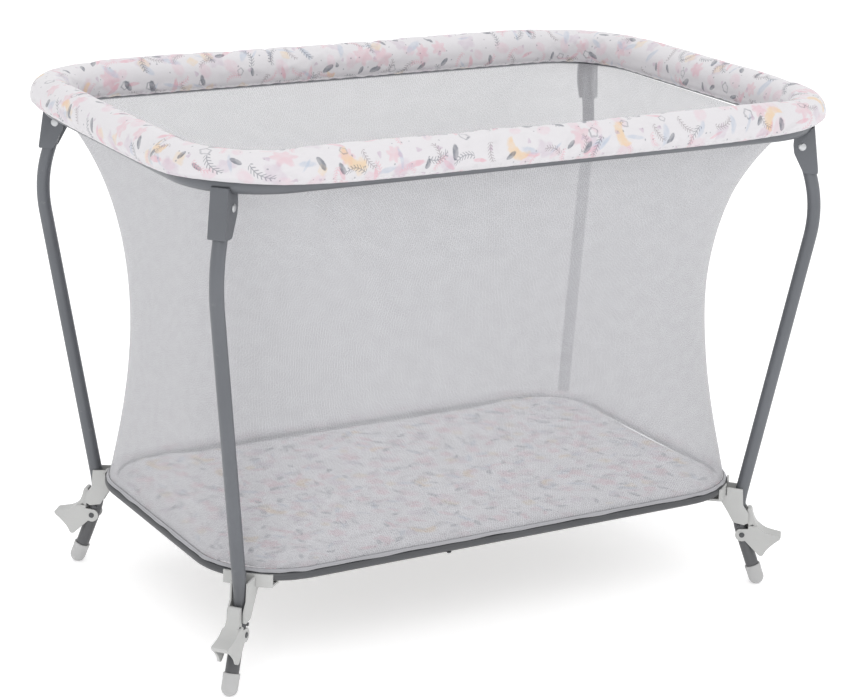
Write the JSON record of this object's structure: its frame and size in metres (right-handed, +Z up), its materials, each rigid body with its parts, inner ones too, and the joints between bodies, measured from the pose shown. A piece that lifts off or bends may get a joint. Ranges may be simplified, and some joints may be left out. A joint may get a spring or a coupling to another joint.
{
  "type": "folding playpen",
  "caption": "Folding baby playpen with a padded oval-cornered top rail, mesh sides, a padded lifting floor and four cranked hinged legs with foot pedals.",
  "frame": {"origin": "on the ground under the middle of the playpen", "axes": "+X along the long side, -Y is the front long side, +Z up"},
  "size_m": [1.0104, 0.6644, 0.7405],
  "materials": {
    "steel_grey": "satin grey powder coat",
    "steel_dark": "satin dark grey powder coat",
    "zinc": "zinc plated",
    "grey_plastic": "light warm grey, moulded",
    "foot_plastic": "light grey, moulded",
    "printed_fabric": "white with small pastel print, padded",
    "mesh_fabric": "light grey fine net",
    "board": "thin hardboard"
  },
  "bodies": {
    "frame": {"rail_tube_left": "steel_grey", "rail_tube_right": "steel_grey", "rail_joiner_front": "zinc", "rail_joiner_back": "zinc", "rail_padding": "printed_fabric", "mesh_wall": "mesh_fabric", "leg_bracket_front_left": "steel_grey", "leg_bracket_front_right": "steel_grey", "leg_bracket_back_left": "steel_grey", "leg_bracket_back_right": "steel_grey", "leg_rivet_front_left": "zinc", "leg_rivet_front_right": "zinc", "leg_rivet_back_left": "zinc", "leg_rivet_back_right": "zinc"},
    "floor": {"floor_tube_left": "steel_dark", "floor_tube_right": "steel_dark", "floor_joiner_front": "zinc", "floor_joiner_back": "zinc", "floor_rivet_front": "steel_dark", "floor_rivet_back": "steel_dark", "floor_board": "board", "floor_mat": "printed_fabric", "floor_bracket_front_left": "grey_plastic", "floor_bracket_front_right": "grey_plastic", "floor_bracket_back_left": "grey_plastic", "floor_bracket_back_right": "grey_plastic", "floor_screw_front_left": "zinc", "floor_screw_front_right": "zinc", "floor_screw_back_left": "zinc", "floor_screw_back_right": "zinc"},
    "leg_front_left": {"leg_front_left": "steel_grey", "foot_cap_front_left": "foot_plastic", "pedal_pin_front_left": "zinc"},
    "pedal_front_left": {"pedal_front_left": "grey_plastic", "pedal_spring_front_left": "zinc"},
    "leg_front_right": {"leg_front_right": "steel_grey", "foot_cap_front_right": "foot_plastic", "pedal_pin_front_right": "zinc"},
    "pedal_front_right": {"pedal_front_right": "grey_plastic", "pedal_spring_front_right": "zinc"},
    "leg_back_left": {"leg_back_left": "steel_grey", "foot_cap_back_left": "foot_plastic", "pedal_pin_back_left": "zinc"},
    "pedal_back_left": {"pedal_back_left": "grey_plastic", "pedal_spring_back_left": "zinc"},
    "leg_back_right": {"leg_back_right": "steel_grey", "foot_cap_back_right": "foot_plastic", "pedal_pin_back_right": "zinc"},
    "pedal_back_right": {"pedal_back_right": "grey_plastic", "pedal_spring_back_right": "zinc"}
  },
  "joints": [
    {"name": "floor_lift", "type": "slide", "parent": "frame", "child": "floor", "axis": [0, 0, 1], "range_m": [0, 0.48], "deforming": ["mesh_wall"]},
    {"name": "leg_fold_front_left", "type": "hinge", "parent": "frame", "child": "leg_front_left", "pos_m": [-0.4515, -0.2755, 0.67], "axis": [0.6347, -0.7727, 0], "range_deg": [0, 16]},
    {"name": "pedal_press_front_left", "type": "hinge", "parent": "leg_front_left", "child": "pedal_front_left", "pos_m": [-0.41595, -0.2463, 0.0785], "axis": [0.6347, -0.7727, 0], "range_deg": [0, 18], "stiffness_Nm_per_rad": 0.35, "springref_deg": -17.19},
    {"name": "leg_fold_front_right", "type": "hinge", "parent": "frame", "child": "leg_front_right", "pos_m": [0.4515, -0.2755, 0.67], "axis": [0.6347, 0.7727, 0], "range_deg": [0, 16]},
    {"name": "pedal_press_front_right", "type": "hinge", "parent": "leg_front_right", "child": "pedal_front_right", "pos_m": [0.41595, -0.2463, 0.0785], "axis": [0.6347, 0.7727, 0], "range_deg": [0, 18], "stiffness_Nm_per_rad": 0.35, "springref_deg": -17.19},
    {"name": "leg_fold_back_left", "type": "hinge", "parent": "frame", "child": "leg_back_left", "pos_m": [-0.4515, 0.2755, 0.67], "axis": [-0.6347, -0.7727, 0], "range_deg": [0, 16]},
    {"name": "pedal_press_back_left", "type": "hinge", "parent": "leg_back_left", "child": "pedal_back_left", "pos_m": [-0.41595, 0.2463, 0.0785], "axis": [-0.6347, -0.7727, 0], "range_deg": [0, 18], "stiffness_Nm_per_rad": 0.35, "springref_deg": -17.19},
    {"name": "leg_fold_back_right", "type": "hinge", "parent": "frame", "child": "leg_back_right", "pos_m": [0.4515, 0.2755, 0.67], "axis": [-0.6347, 0.7727, 0], "range_deg": [0, 16]},
    {"name": "pedal_press_back_right", "type": "hinge", "parent": "leg_back_right", "child": "pedal_back_right", "pos_m": [0.41595, 0.2463, 0.0785], "axis": [-0.6347, 0.7727, 0], "range_deg": [0, 18], "stiffness_Nm_per_rad": 0.35, "springref_deg": -17.19}
  ],
  "couplings": [
    {"joint": "leg_fold_front_left", "follows": "floor_lift", "rad_per_m": 0.55},
    {"joint": "leg_fold_front_right", "follows": "floor_lift", "rad_per_m": 0.55},
    {"joint": "leg_fold_back_left", "follows": "floor_lift", "rad_per_m": 0.55},
    {"joint": "leg_fold_back_right", "follows": "floor_lift", "rad_per_m": 0.55}
  ]
}
